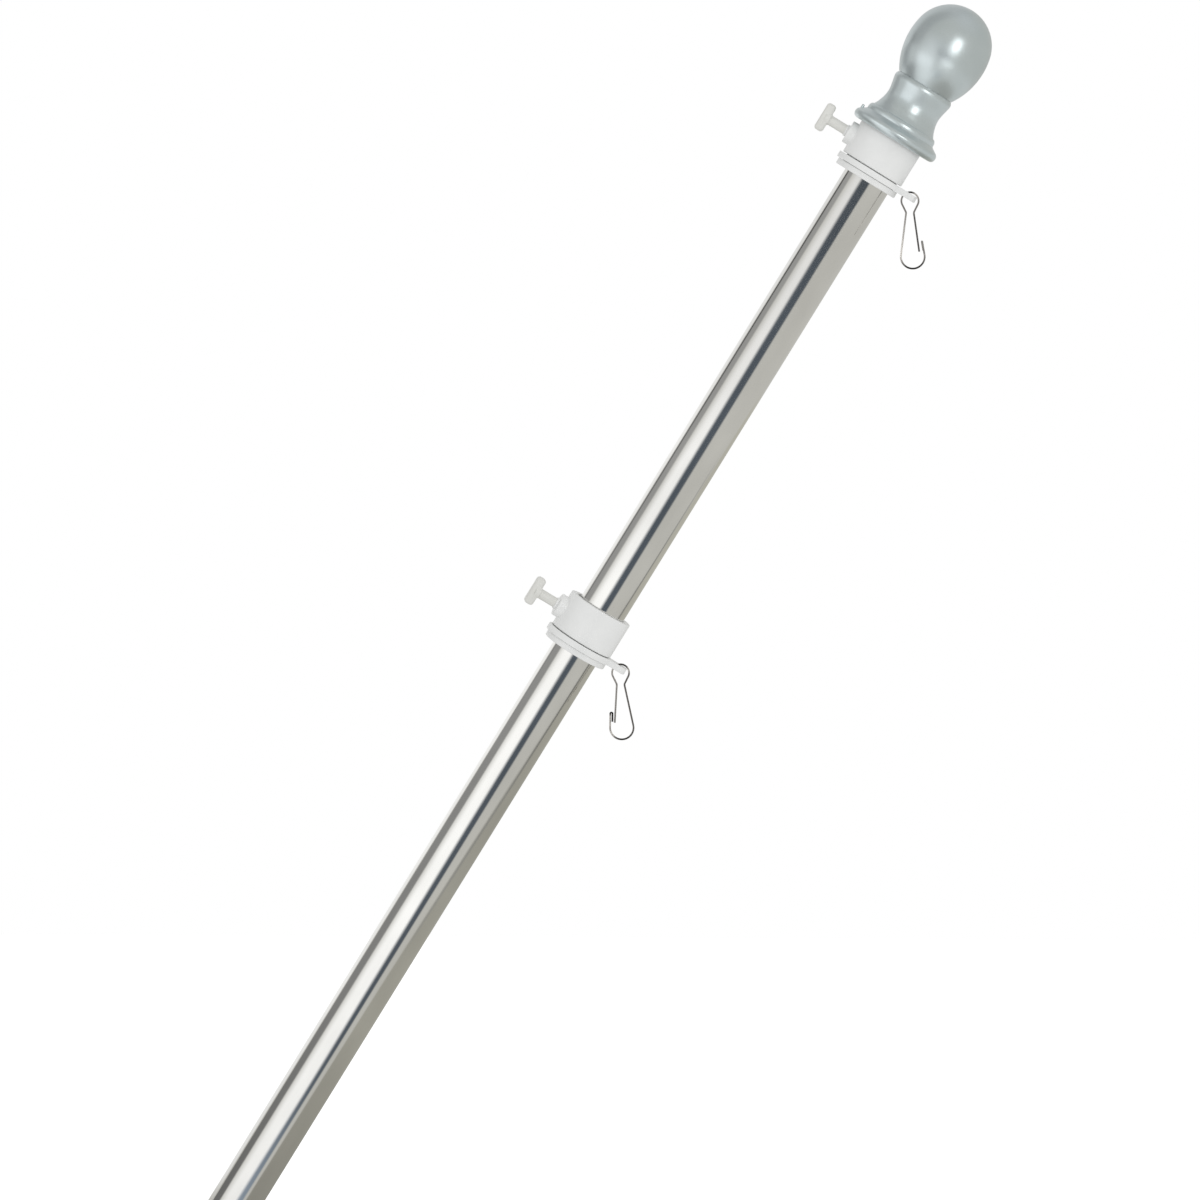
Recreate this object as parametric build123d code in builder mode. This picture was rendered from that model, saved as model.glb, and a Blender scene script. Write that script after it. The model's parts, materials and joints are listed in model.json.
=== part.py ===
from build123d import *
from math import acos, cos, degrees, radians, sin
import os

# Five-foot house flagpole: a steel tube in two lengths, a silver ball finial, and two
# anti-wrap flag rings with T thumbscrews and wire clips. It leans as it does in a wall
# bracket. The origin is the centre of the butt's end face, the pole rises towards +X
# in the X-Z plane, and the clips hang plumb from its underside. Millimetres.

# Pole
lean = 31.7                    # angle from the vertical
pole_length = 1524.0           # butt end to the top of the ball
pole_radius = 12.7
tube_wall = 0.8
joint_height = 762.0           # where the upper tube sits on the lower one
joint_break = 0.3              # both tubes' ends are deburred there
neck_length = 45.0             # swaged end that goes up inside the upper tube
neck_play = 0.05
neck_lead = 1.5                # length and depth of the taper at its mouth
neck_taper = 0.5
swage_length = 6.0             # where the wall draws in to the neck
cap_thickness = 3.0
plug_length = 14.0
plug_chamfer = 0.5

# Finial, with heights measured up from its foot
finial_height = 77.2
flange_radius = 24.05
flange_middle = 3.0
lip_radius = 21.0
recess_radius = 19.2           # hollow underside that takes the top of the collar
recess_depth = 1.9
socket_depth = 28.1
socket_play = 0.05
tube_end_gap = 0.5             # between the tube's end and the deck
deck_thickness = 3.0
bead_foot_radius = 19.7
bead_foot_height = 7.5
neck_radius_low = 17.7
neck_foot_height = 10.9
waist_radius = 14.97
waist_height = 20.3
rim_foot_radius = 16.25
rim_foot_height = 27.6
rim_radius = 16.45
seam_height = 31.7             # where the ball sits in the rim of the neck
seam_radius = 15.65
seam_gap = 0.2
neck_wall = 1.2
ball_play = 0.1
crown_radius = 21.4
crown_end = 13.0               # angle above the crown's centre where the fuller side begins
spigot_radius = 4.0
spigot_length = 8.0

# Collars and spinning rings, each stack measured down from the foot of its hub
hub_radius = 17.5
hub_height = 19.7
hub_chamfer = 0.5
collar_bore = 13.75
sleeve_radius = 15.0
ring_radius = 18.85
ring_bore = 15.1
ring_thickness = 3.2
gap_above = 0.45
gap_below = 0.15
retainer_radius = 17.5
retainer_thickness = 3.2
retainer_play = 0.02
boss_radius = 6.1
boss_reach = 20.7
step_radius = 3.15
step_reach = 22.1
tab_reach = 28.0
tab_width = 10.0
tab_corner = 3.0
tab_hole_reach = 22.2
tab_hole_radius = 2.35

# Thumbscrew, measured out from the collar's axis
screw_radius = 2.6
screw_play = 0.05
screw_gap = 0.1                # between its tip and the pole
handle_reach = 36.8
handle_bar = 5.0
handle_length = 15.3
handle_depth = 7.0
handle_round = 1.7

# Wire clip, measured from the centre of its eye
wire_radius = 0.55
eye_radius = 4.4
eye_reach = 26.2               # from the collar's axis
eye_drop = 1.65                # below the middle of the ring's thickness
waist_half = 1.95
waist_drop = 6.0
waist_bend = 2.0
bow_radius = 6.1
bow_drop = 28.55
gate_drop = 26.0
hook_drop = 21.3
fold_radius = 0.6
fold_length = 4.2

# Each ring as it stands: foot of its hub up the pole, how far its screw has drawn the
# collar over, how far the collar and the tab are turned about the pole, and the clip's
# gate side, drift of its bow and half widths at its hook and its gate's end
rings = {
    "upper": (1428.5, 1.0, 0, -16, 1, 1.5, 4.9, 3.3),
    "lower": (1142.9, 0.7, 10, 0, -1, 0.6, 5.95, 3.65),
}

along = Vector(sin(radians(lean)), 0, cos(radians(lean)))     # up the pole
under = Vector(cos(radians(lean)), 0, -sin(radians(lean)))    # out of its underside
pole_axis = Axis((0, 0, 0), along)
# Sketch x is the distance from the pole's axis, sketch y the height up the pole
lengthwise = Plane(origin=(0, 0, 0), x_dir=under, z_dir=(0, -1, 0))

os.makedirs("parts", exist_ok=True)


def across(height):
    """Plane square to the pole, at a height up it."""
    return Plane(origin=along * height, x_dir=under, z_dir=along)


def touch_point(point, centre, radius, side):
    """Where a straight wire from a point meets a round bend, on the side asked for."""
    arm = point - centre
    turn = degrees(acos(radius / arm.length))
    return centre + arm.normalized().rotate(Axis.Z, side * turn) * radius


def spot(point):
    """A point as sketch coordinates."""
    return (point.X, point.Y)


# Pole: butt cap and the two lengths of tube
tube_bore = pole_radius - tube_wall
neck_radius = tube_bore - neck_play
neck_top = joint_height + neck_length
finial_foot = pole_length - finial_height

with BuildPart() as butt_cap:
    with BuildSketch(across(0)):
        Circle(pole_radius)
    extrude(amount=cap_thickness)
    with BuildSketch(across(cap_thickness)):
        Circle(neck_radius)
    extrude(amount=plug_length)
    chamfer(butt_cap.edges().group_by(SortBy.DISTANCE)[-1], plug_chamfer)
butt_cap.part.label = "butt_cap"
export_step(butt_cap.part, "parts/butt_cap.step")

with BuildPart() as lower_tube:
    with BuildSketch(lengthwise):
        with BuildLine():
            Polyline(
                (tube_bore, cap_thickness),
                (pole_radius, cap_thickness),
                (pole_radius, joint_height - joint_break),
                (pole_radius - joint_break, joint_height),
                (neck_radius, joint_height),
                (neck_radius, neck_top - neck_lead),
                (neck_radius - neck_taper, neck_top),
                (neck_radius - tube_wall, neck_top),
                (neck_radius - tube_wall, joint_height),
                (tube_bore, joint_height - swage_length),
                close=True,
            )
        make_face()
    revolve(axis=pole_axis)
lower_tube.part.label = "lower_tube"
export_step(lower_tube.part, "parts/lower_tube.step")

with BuildPart() as upper_tube:
    with BuildSketch(lengthwise):
        with BuildLine():
            Polyline(
                (tube_bore, joint_height),
                (pole_radius - joint_break, joint_height),
                (pole_radius, joint_height + joint_break),
                (pole_radius, finial_foot + socket_depth - tube_end_gap),
                (tube_bore, finial_foot + socket_depth - tube_end_gap),
                close=True,
            )
        make_face()
    revolve(axis=pole_axis)
upper_tube.part.label = "upper_tube"
export_step(upper_tube.part, "parts/upper_tube.step")

# Finial: base with the neck, and the ball
socket_radius = pole_radius + socket_play
neck_bore = seam_radius - neck_wall
skirt_radius = neck_bore - ball_play
deck_top = socket_depth + deck_thickness
rim_height = seam_height - seam_gap


def on_finial(radius, height):
    return (radius, finial_foot + height)


with BuildPart() as finial_base:
    with BuildSketch(lengthwise):
        with BuildLine():
            # Inside: open recess, socket for the tube, deck with the ball's spigot hole
            Polyline(
                on_finial(lip_radius, 0),
                on_finial(recess_radius, 0.3),
                on_finial(recess_radius, recess_depth),
                on_finial(socket_radius, recess_depth),
                on_finial(socket_radius, socket_depth),
                on_finial(spigot_radius + socket_play, socket_depth),
                on_finial(spigot_radius + socket_play, deck_top),
                on_finial(neck_bore, deck_top),
                on_finial(neck_bore, rim_height),
                on_finial(seam_radius, rim_height),
            )
            # Outside, from the top: rim bead, hollow neck, small bead and rounded flange
            ThreePointArc(
                on_finial(seam_radius, rim_height),
                on_finial(rim_radius, 29.3),
                on_finial(rim_foot_radius, rim_foot_height),
            )
            Spline(
                on_finial(rim_foot_radius, rim_foot_height),
                on_finial(waist_radius, waist_height),
                on_finial(neck_radius_low, neck_foot_height),
            )
            Polyline(
                on_finial(neck_radius_low, neck_foot_height),
                on_finial(18.3, 10.7),
                on_finial(19.35, 9.1),
                on_finial(bead_foot_radius, bead_foot_height),
                on_finial(20.6, 6.55),
                on_finial(21.9, 5.7),
            )
            ThreePointArc(
                on_finial(21.9, 5.7),
                on_finial(flange_radius, flange_middle),
                on_finial(lip_radius, 0),
            )
        make_face()
    revolve(axis=pole_axis)
finial_base.part.label = "finial_base"
export_step(finial_base.part, "parts/finial_base.step")

crown_centre = finial_height - crown_radius
crown_slant = crown_radius * 0.5**0.5
crown_end_radius = crown_radius * cos(radians(crown_end))
crown_end_height = crown_centre + crown_radius * sin(radians(crown_end))

with BuildPart() as finial_ball:
    with BuildSketch(lengthwise):
        with BuildLine():
            # A round crown, then a fuller side that draws in to the seam
            ThreePointArc(
                on_finial(0, finial_height),
                on_finial(crown_slant, crown_centre + crown_slant),
                on_finial(crown_end_radius, crown_end_height),
            )
            TangentArc(
                on_finial(crown_end_radius, crown_end_height),
                on_finial(seam_radius, seam_height),
                tangent=(sin(radians(crown_end)), -cos(radians(crown_end))),
            )
            Polyline(
                on_finial(seam_radius, seam_height),
                on_finial(skirt_radius, seam_height),
                on_finial(skirt_radius, deck_top),
                on_finial(spigot_radius, deck_top),
                on_finial(spigot_radius, deck_top - spigot_length),
                on_finial(0, deck_top - spigot_length),
                on_finial(0, finial_height),
            )
        make_face()
    revolve(axis=pole_axis)
finial_ball.part.label = "finial_ball"
export_step(finial_ball.part, "parts/finial_ball.step")

# Flag rings: collar, spinning ring, retainer, thumbscrew and clip at each end
ring_foot = -gap_above - ring_thickness
sleeve_length = gap_above + ring_thickness + gap_below + retainer_thickness

for end, place in rings.items():
    hub_foot, drawn_over, collar_turn, tab_turn, gate_side, bow_drift, hook_half, gate_half = place
    screw_side = (-under).rotate(pole_axis, collar_turn)
    tab_side = under.rotate(pole_axis, tab_turn)
    centre = along * hub_foot + screw_side * drawn_over
    hub_plane = Plane(origin=centre, x_dir=screw_side, z_dir=along)
    ring_plane = Plane(origin=centre + along * ring_foot, x_dir=tab_side, z_dir=along)
    screw_plane = Plane(origin=centre + along * hub_height / 2, x_dir=along, z_dir=screw_side)

    with BuildPart() as collar:
        with BuildSketch(hub_plane):
            Circle(hub_radius)
        extrude(amount=hub_height)
        chamfer(collar.edges(), hub_chamfer)
        with BuildSketch(hub_plane):
            Circle(sleeve_radius)
        extrude(amount=-sleeve_length)
        with BuildSketch(screw_plane):
            Circle(boss_radius)
        extrude(amount=boss_reach)
        with BuildSketch(screw_plane):
            Circle(step_radius)
        extrude(amount=step_reach)
        with BuildSketch(hub_plane.offset(-sleeve_length)):
            Circle(collar_bore)
        extrude(amount=sleeve_length + hub_height, mode=Mode.SUBTRACT)
        with BuildSketch(screw_plane):
            Circle(screw_radius + screw_play)
        extrude(amount=step_reach, mode=Mode.SUBTRACT)
    collar.part.label = f"{end}_collar"
    export_step(collar.part, f"parts/{end}_collar.step")

    with BuildPart() as spin_ring:
        with BuildSketch(ring_plane):
            Circle(ring_radius)
            with Locations((tab_reach / 2, 0)):
                RectangleRounded(tab_reach, tab_width, tab_corner)
            Circle(ring_bore, mode=Mode.SUBTRACT)
            with Locations((tab_hole_reach, 0)):
                Circle(tab_hole_radius, mode=Mode.SUBTRACT)
        extrude(amount=ring_thickness)
    spin_ring.part.label = f"{end}_spin_ring"
    export_step(spin_ring.part, f"parts/{end}_spin_ring.step")

    with BuildPart() as retainer:
        with BuildSketch(hub_plane.offset(-sleeve_length)):
            Circle(retainer_radius)
        extrude(amount=retainer_thickness)
        chamfer(retainer.edges(), hub_chamfer)
        with BuildSketch(hub_plane.offset(-sleeve_length)):
            Circle(sleeve_radius + retainer_play)
        extrude(amount=retainer_thickness, mode=Mode.SUBTRACT)
    retainer.part.label = f"{end}_retainer"
    export_step(retainer.part, f"parts/{end}_retainer.step")

    screw_tip = pole_radius - drawn_over + screw_gap
    with BuildPart() as thumbscrew:
        with BuildSketch(screw_plane.offset(screw_tip)):
            Circle(screw_radius)
        extrude(amount=handle_reach - handle_bar / 2 - screw_tip)
        # Flat T handle with rounded ends
        with BuildSketch(Plane(screw_plane.origin, x_dir=along, z_dir=along.cross(screw_side))):
            with Locations((0, handle_reach - handle_bar / 2)):
                RectangleRounded(handle_length, handle_bar, handle_round)
        extrude(amount=handle_depth / 2, both=True)
    thumbscrew.part.label = f"{end}_thumbscrew"
    export_step(thumbscrew.part, f"parts/{end}_thumbscrew.step")

    # Wire clip in one bend: folded hook, bow, plain side, eye, and the sprung gate side
    eye_centre = ring_plane.origin + tab_side * eye_reach + along * (ring_thickness / 2 - eye_drop)
    plumb = Plane(origin=eye_centre, x_dir=(1, 0, 0), z_dir=(0, -1, 0))
    bow_centre = Vector(bow_drift, -bow_drop)
    bow_foot = bow_centre - Vector(0, bow_radius)
    gate_waist = Vector(gate_side * waist_half, -waist_drop)
    gate_end = Vector(bow_drift + gate_side * gate_half, -gate_drop)
    plain_waist = Vector(-gate_side * waist_half, -waist_drop)
    hook_top = Vector(bow_drift + gate_side * hook_half, -hook_drop)
    hook_foot = touch_point(hook_top, bow_centre, bow_radius, -gate_side)
    bow_end = touch_point(plain_waist, bow_centre, bow_radius, gate_side)
    eye_start = touch_point(plain_waist, Vector(0, 0), eye_radius, -gate_side)
    eye_end = touch_point(gate_waist, Vector(0, 0), eye_radius, gate_side)
    rise = (hook_top - hook_foot).normalized()
    inward = rise.rotate(Axis.Z, gate_side * 90)
    fold_top = hook_top + (inward + rise) * fold_radius
    fold_foot = hook_top + inward * 2 * fold_radius
    fold_end = fold_foot - rise * fold_length

    with BuildPart() as clip:
        with BuildLine(plumb) as route:
            Line(spot(fold_end), spot(fold_foot))
            ThreePointArc(spot(fold_foot), spot(fold_top), spot(hook_top))
            Line(spot(hook_top), spot(hook_foot))
            ThreePointArc(spot(hook_foot), spot(bow_foot), spot(bow_end))
            FilletPolyline(spot(bow_end), spot(plain_waist), spot(eye_start), radius=waist_bend)
            ThreePointArc(spot(eye_start), (0, eye_radius), spot(eye_end))
            FilletPolyline(spot(eye_end), spot(gate_waist), spot(gate_end), radius=waist_bend)
        # Eight flats stand for the round of so thin a wire
        with BuildSketch(Plane(origin=route.wire() @ 0, z_dir=route.wire() % 0)):
            RegularPolygon(wire_radius, 8)
        sweep(path=route.wire())
    clip.part.label = f"{end}_clip"
    export_step(clip.part, f"parts/{end}_clip.step")
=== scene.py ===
import json
import math
import bpy
import bmesh
from mathutils import Matrix, Vector


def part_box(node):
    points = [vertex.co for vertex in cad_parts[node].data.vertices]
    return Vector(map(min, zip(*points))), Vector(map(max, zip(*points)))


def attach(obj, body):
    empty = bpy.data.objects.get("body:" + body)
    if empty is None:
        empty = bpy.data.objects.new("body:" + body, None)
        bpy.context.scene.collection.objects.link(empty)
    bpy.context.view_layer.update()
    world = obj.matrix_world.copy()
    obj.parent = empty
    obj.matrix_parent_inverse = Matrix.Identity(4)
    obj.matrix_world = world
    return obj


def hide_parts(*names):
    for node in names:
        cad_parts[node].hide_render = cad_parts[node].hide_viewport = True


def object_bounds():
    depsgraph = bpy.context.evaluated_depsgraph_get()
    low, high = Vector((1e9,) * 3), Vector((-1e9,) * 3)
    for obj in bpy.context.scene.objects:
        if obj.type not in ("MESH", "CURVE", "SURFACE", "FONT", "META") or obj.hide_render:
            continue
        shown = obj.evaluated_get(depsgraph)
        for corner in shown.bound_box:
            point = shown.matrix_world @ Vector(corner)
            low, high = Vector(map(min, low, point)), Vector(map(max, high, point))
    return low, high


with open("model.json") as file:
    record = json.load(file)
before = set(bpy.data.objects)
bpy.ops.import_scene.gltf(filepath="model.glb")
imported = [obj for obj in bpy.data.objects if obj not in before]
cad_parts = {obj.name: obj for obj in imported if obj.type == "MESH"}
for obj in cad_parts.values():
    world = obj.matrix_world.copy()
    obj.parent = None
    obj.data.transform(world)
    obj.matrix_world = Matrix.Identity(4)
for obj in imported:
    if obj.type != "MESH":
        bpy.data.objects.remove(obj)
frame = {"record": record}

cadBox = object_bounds()
mm = 0.001
mergeGap = 1e-7      # points nearer than this become one
noLength = 1e-6      # anything shorter counts as nothing

# The pole's own frame, read from the joints and mounts: up the pole, and out of its underside
record = frame["record"]
joints = {joint["name"]: joint for joint in record["behaviour"]["joints"]}
mounts = {mount["name"]: mount for mount in record["mounts"]}
alongPole = Vector(joints["upper_collar_slide"]["axis"]).normalized()
underPole = Vector((0, 1, 0)).cross(alongPole).normalized()
buttPoint = Vector(mounts["butt_face"]["pos_m"])
leanAngle = math.atan2(alongPole.x, alongPole.z)


def frameAt(origin, outward):
    # Pieces are shaped upright, z up the pole and x to one side of it, then placed by this
    outward = (outward - alongPole * outward.dot(alongPole)).normalized()
    matrix = Matrix((outward, alongPole.cross(outward), alongPole)).transposed().to_4x4()
    matrix.translation = origin
    return matrix


poleFrame = frameAt(buttPoint, underPole)


def heightOf(point):
    return (Vector(point) - buttPoint).dot(alongPole)


def footOf(node, radius):
    # Height up the pole of a round node's lower end, from its box
    return (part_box(node)[0][2] + radius * math.sin(leanAngle)) / math.cos(leanAngle)


def arcPoints(centre, size, start, end, steps):
    points = []
    for step in range(steps + 1):
        angle = math.radians(start + (end - start) * step / steps)
        points.append((centre[0] + size * math.cos(angle), centre[1] + size * math.sin(angle)))
    return points


def softened(corners, steps=4):
    # Corners are (radius, height, rounding); each is cut back to an arc
    points = []
    for index, (x, y, size) in enumerate(corners):
        here = Vector((x, y))
        if size == 0:
            points.append((x, y))
            continue
        toBefore = (Vector(corners[index - 1][:2]) - here).normalized()
        toAfter = (Vector(corners[(index + 1) % len(corners)][:2]) - here).normalized()
        half = toBefore.angle(toAfter) / 2
        centre = here + (toBefore + toAfter).normalized() * size / math.sin(half)
        first = here + toBefore * size / math.tan(half) - centre
        last = here + toAfter * size / math.tan(half) - centre
        sweep = first.angle_signed(last)
        for step in range(steps + 1):
            turn = Matrix.Rotation(-sweep * step / steps, 2)
            points.append(tuple(centre + turn @ first))
    return points


def smoothThrough(points, steps):
    # Even curve that passes through each of a few profile points, given in millimetres
    points = [Vector(point) * mm for point in points]
    ends = [points[0] * 2 - points[1]] + points + [points[-1] * 2 - points[-2]]
    result = [tuple(points[0])]
    for index in range(1, len(ends) - 2):
        before, here, after, later = ends[index - 1:index + 3]
        slope = after - before
        curve = 2 * before - 5 * here + 4 * after - later
        twist = 3 * here - before - 3 * after + later
        for step in range(1, steps + 1):
            t = step / steps
            result.append(tuple(0.5 * (2 * here + slope * t + curve * t**2 + twist * t**3)))
    return result


straightRuns = {      # in mm; a long run gets a point near each end, so that round edges shade cleanly
    "longerThan": 2.4,
    "inset": 0.4,
}


def supported(profile, closed):
    points = []
    pairs = list(zip(profile, profile[1:] + profile[:1])) if closed else list(zip(profile, profile[1:]))
    for start, end in pairs:
        points.append(start)
        run = Vector(end) - Vector(start)
        if run.length > straightRuns["longerThan"] * mm:
            nudge = run.normalized() * straightRuns["inset"] * mm
            points += [tuple(Vector(start) + nudge), tuple(Vector(end) - nudge)]
    return points if closed else points + [profile[-1]]


def turned(profile, segments, closed=True):
    # Solid of revolution about z from (radius, height) points
    profile = supported(profile, closed)
    bm = bmesh.new()
    verts = [bm.verts.new((radius, 0, height)) for radius, height in profile]
    pairs = list(zip(verts, verts[1:]))
    if closed:
        pairs.append((verts[-1], verts[0]))
    edges = [bm.edges.new(pair) for pair in pairs]
    bmesh.ops.spin(bm, geom=verts + edges, cent=(0, 0, 0), axis=(0, 0, 1),
                   angle=math.tau, steps=segments, use_merge=True)
    bmesh.ops.remove_doubles(bm, verts=bm.verts, dist=mergeGap)
    bmesh.ops.dissolve_degenerate(bm, dist=mergeGap, edges=bm.edges)
    bmesh.ops.recalc_face_normals(bm, faces=bm.faces)
    return bm


def block(length, width, height):
    bm = bmesh.new()
    bmesh.ops.create_cube(bm, size=1)
    bmesh.ops.scale(bm, vec=(length, width, height), verts=bm.verts)
    return bm


def roundEdges(bm, edges, size, segments):
    bmesh.ops.bevel(bm, geom=edges, offset=size, affect="EDGES", segments=segments, profile=0.5, material=-1)


def spanOf(edge):
    # How far an edge reaches along each axis
    run = edge.verts[1].co - edge.verts[0].co
    return Vector((abs(run.x), abs(run.y), abs(run.z)))


def asObject(bm, name):
    mesh = bpy.data.meshes.new(name)
    bm.to_mesh(mesh)
    bm.free()
    piece = bpy.data.objects.new(name, mesh)
    bpy.context.scene.collection.objects.link(piece)
    return piece


def plainMesh(source):
    # A mesh of its own from what a curve or a modifier makes
    bpy.context.view_layer.update()
    graph = bpy.context.evaluated_depsgraph_get()
    return bpy.data.meshes.new_from_object(source.evaluated_get(graph))


def combine(base, operand, operation):
    # Joins one solid to another or cuts it out, and leaves plain geometry
    modifier = base.modifiers.new("combine", "BOOLEAN")
    modifier.operation = operation
    modifier.solver = "EXACT"
    modifier.object = operand
    result = plainMesh(base)
    base.modifiers.clear()
    old = base.data
    base.data = result
    bpy.data.meshes.remove(old)
    bpy.data.objects.remove(operand)


def finishPiece(piece, material, body, node, sharpDegrees=35):
    mesh = piece.data
    bm = bmesh.new()
    bm.from_mesh(mesh)
    bmesh.ops.recalc_face_normals(bm, faces=bm.faces)
    bm.to_mesh(mesh)
    bm.free()
    mesh.materials.clear()
    mesh.materials.append(material)
    mesh.polygons.foreach_set("use_smooth", [True] * len(mesh.polygons))
    mesh.set_sharp_from_angle(angle=math.radians(sharpDegrees))
    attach(piece, body)
    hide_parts(node)


# Materials
def newMaterial(name):
    material = bpy.data.materials.new(name)
    material.use_nodes = True
    tree = material.node_tree
    shader = tree.nodes["Principled BSDF"]
    return material, tree, shader


def poleCoordinates(tree, scale=(1, 1, 1)):
    # Object coordinates turned so that the pattern's z runs up the pole
    coordinates = tree.nodes.new("ShaderNodeTexCoord")
    turnBack = tree.nodes.new("ShaderNodeMapping")
    turnBack.inputs["Rotation"].default_value = (0, -leanAngle, 0)
    stretch = tree.nodes.new("ShaderNodeMapping")
    stretch.inputs["Scale"].default_value = scale
    tree.links.new(coordinates.outputs["Object"], turnBack.inputs["Vector"])
    tree.links.new(turnBack.outputs["Vector"], stretch.inputs["Vector"])
    return stretch.outputs["Vector"]


def noiseOf(tree, vector, scale=1, detail=3, roughness=0.5):
    noise = tree.nodes.new("ShaderNodeTexNoise")
    noise.inputs["Scale"].default_value = scale
    noise.inputs["Detail"].default_value = detail
    noise.inputs["Roughness"].default_value = roughness
    tree.links.new(vector, noise.inputs["Vector"])
    return noise.outputs["Fac"]


def remap(tree, value, low, high, fromLow=0.3, fromHigh=0.7):
    # Spreads a noise, which keeps near its middle, over the wanted range
    node = tree.nodes.new("ShaderNodeMapRange")
    node.inputs["From Min"].default_value = fromLow
    node.inputs["From Max"].default_value = fromHigh
    node.inputs["To Min"].default_value = low
    node.inputs["To Max"].default_value = high
    tree.links.new(value, node.inputs["Value"])
    return node.outputs["Result"]


def colourFrom(tree, shader, value, finish):
    mix = tree.nodes.new("ShaderNodeMix")
    mix.data_type = "RGBA"
    mix.inputs["A"].default_value = (*finish["dark"], 1)
    mix.inputs["B"].default_value = (*finish["light"], 1)
    tree.links.new(remap(tree, value, 0, 1), mix.inputs["Factor"])
    tree.links.new(mix.outputs["Result"], shader.inputs["Base Color"])


def roughnessFrom(tree, shader, value, finish):
    tree.links.new(remap(tree, value, finish["roughLow"], finish["roughHigh"]), shader.inputs["Roughness"])


def bumpFrom(tree, shader, value, distance, strength):
    bump = tree.nodes.new("ShaderNodeBump")
    bump.inputs["Distance"].default_value = distance
    bump.inputs["Strength"].default_value = strength
    tree.links.new(value, bump.inputs["Height"])
    tree.links.new(bump.outputs["Normal"], shader.inputs["Normal"])


tubeFinish = {
    "dark": (0.78, 0.775, 0.76),
    "light": (0.86, 0.855, 0.84),
    "roughLow": 0.07,
    "roughHigh": 0.13,
    "cloudScale": (60, 60, 25),
    "lineScale": (1500, 1500, 6),      # fine lines along the tube
    "lineDetail": 4,
    "lineRoughness": 0.6,
    "lineDepth": 0.004 * mm,
    "lineStrength": 0.5,
}


def makeTubeMaterial():
    material, tree, shader = newMaterial("polishedSteelTube")
    lines = noiseOf(tree, poleCoordinates(tree, tubeFinish["lineScale"]),
                    detail=tubeFinish["lineDetail"], roughness=tubeFinish["lineRoughness"])
    clouds = noiseOf(tree, poleCoordinates(tree, tubeFinish["cloudScale"]))
    colourFrom(tree, shader, clouds, tubeFinish)
    roughnessFrom(tree, shader, lines, tubeFinish)
    bumpFrom(tree, shader, lines, tubeFinish["lineDepth"], tubeFinish["lineStrength"])
    shader.inputs["Metallic"].default_value = 1
    return material


paintFinish = {
    "dark": (0.56, 0.625, 0.64),
    "light": (0.61, 0.67, 0.685),
    "metallic": 0.75,
    "roughLow": 0.27,
    "roughHigh": 0.34,
    "cloudScale": 70,
    "cloudDetail": 4,
    "flakeScale": 5200,
    "flakeDetail": 2,
    "peelScale": 420,
    "peelDetail": 2,
    "peelDepth": 0.02 * mm,
    "peelStrength": 0.4,
}


def makePaintMaterial():
    material, tree, shader = newMaterial("silverPaint")
    clouds = noiseOf(tree, poleCoordinates(tree), paintFinish["cloudScale"], paintFinish["cloudDetail"])
    flakes = noiseOf(tree, poleCoordinates(tree), paintFinish["flakeScale"], paintFinish["flakeDetail"])
    peel = noiseOf(tree, poleCoordinates(tree), paintFinish["peelScale"], paintFinish["peelDetail"])
    colourFrom(tree, shader, clouds, paintFinish)
    roughnessFrom(tree, shader, flakes, paintFinish)
    bumpFrom(tree, shader, peel, paintFinish["peelDepth"], paintFinish["peelStrength"])
    shader.inputs["Metallic"].default_value = paintFinish["metallic"]
    return material


plasticFinishes = {
    "whitePlastic": {
        "dark": (0.81, 0.818, 0.81), "light": (0.85, 0.856, 0.848),
        "roughLow": 0.34, "roughHigh": 0.42, "grainScale": 2600, "grainDepth": 0.006 * mm,
    },
    "screwPlastic": {
        "dark": (0.705, 0.705, 0.668), "light": (0.755, 0.755, 0.722),
        "roughLow": 0.42, "roughHigh": 0.52, "grainScale": 1900, "grainDepth": 0.008 * mm,
    },
    "blackPlastic": {
        "dark": (0.018, 0.018, 0.019), "light": (0.03, 0.03, 0.031),
        "roughLow": 0.45, "roughHigh": 0.6, "grainScale": 1500, "grainDepth": 0.02 * mm,
    },
}
plasticGrain = {
    "cloudScale": 90,
    "bumpStrength": 0.35,
    "refraction": 1.49,
}


def makePlasticMaterial(name, finish):
    material, tree, shader = newMaterial(name)
    clouds = noiseOf(tree, poleCoordinates(tree), plasticGrain["cloudScale"])
    grain = noiseOf(tree, poleCoordinates(tree), finish["grainScale"])
    colourFrom(tree, shader, clouds, finish)
    roughnessFrom(tree, shader, clouds, finish)
    bumpFrom(tree, shader, grain, finish["grainDepth"], plasticGrain["bumpStrength"])
    shader.inputs["IOR"].default_value = plasticGrain["refraction"]
    return material


wireFinish = {
    "wornLow": 0.94,
    "wornHigh": 1.05,
    "tint": (1.0, 0.955, 0.91),
    "roughLow": 0.22,
    "roughHigh": 0.30,
    "cloudScale": 900,
    "grainScale": 6000,
    "grainDetail": 2,
    "grainDepth": 0.001 * mm,
    "grainStrength": 0.3,
}


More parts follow.
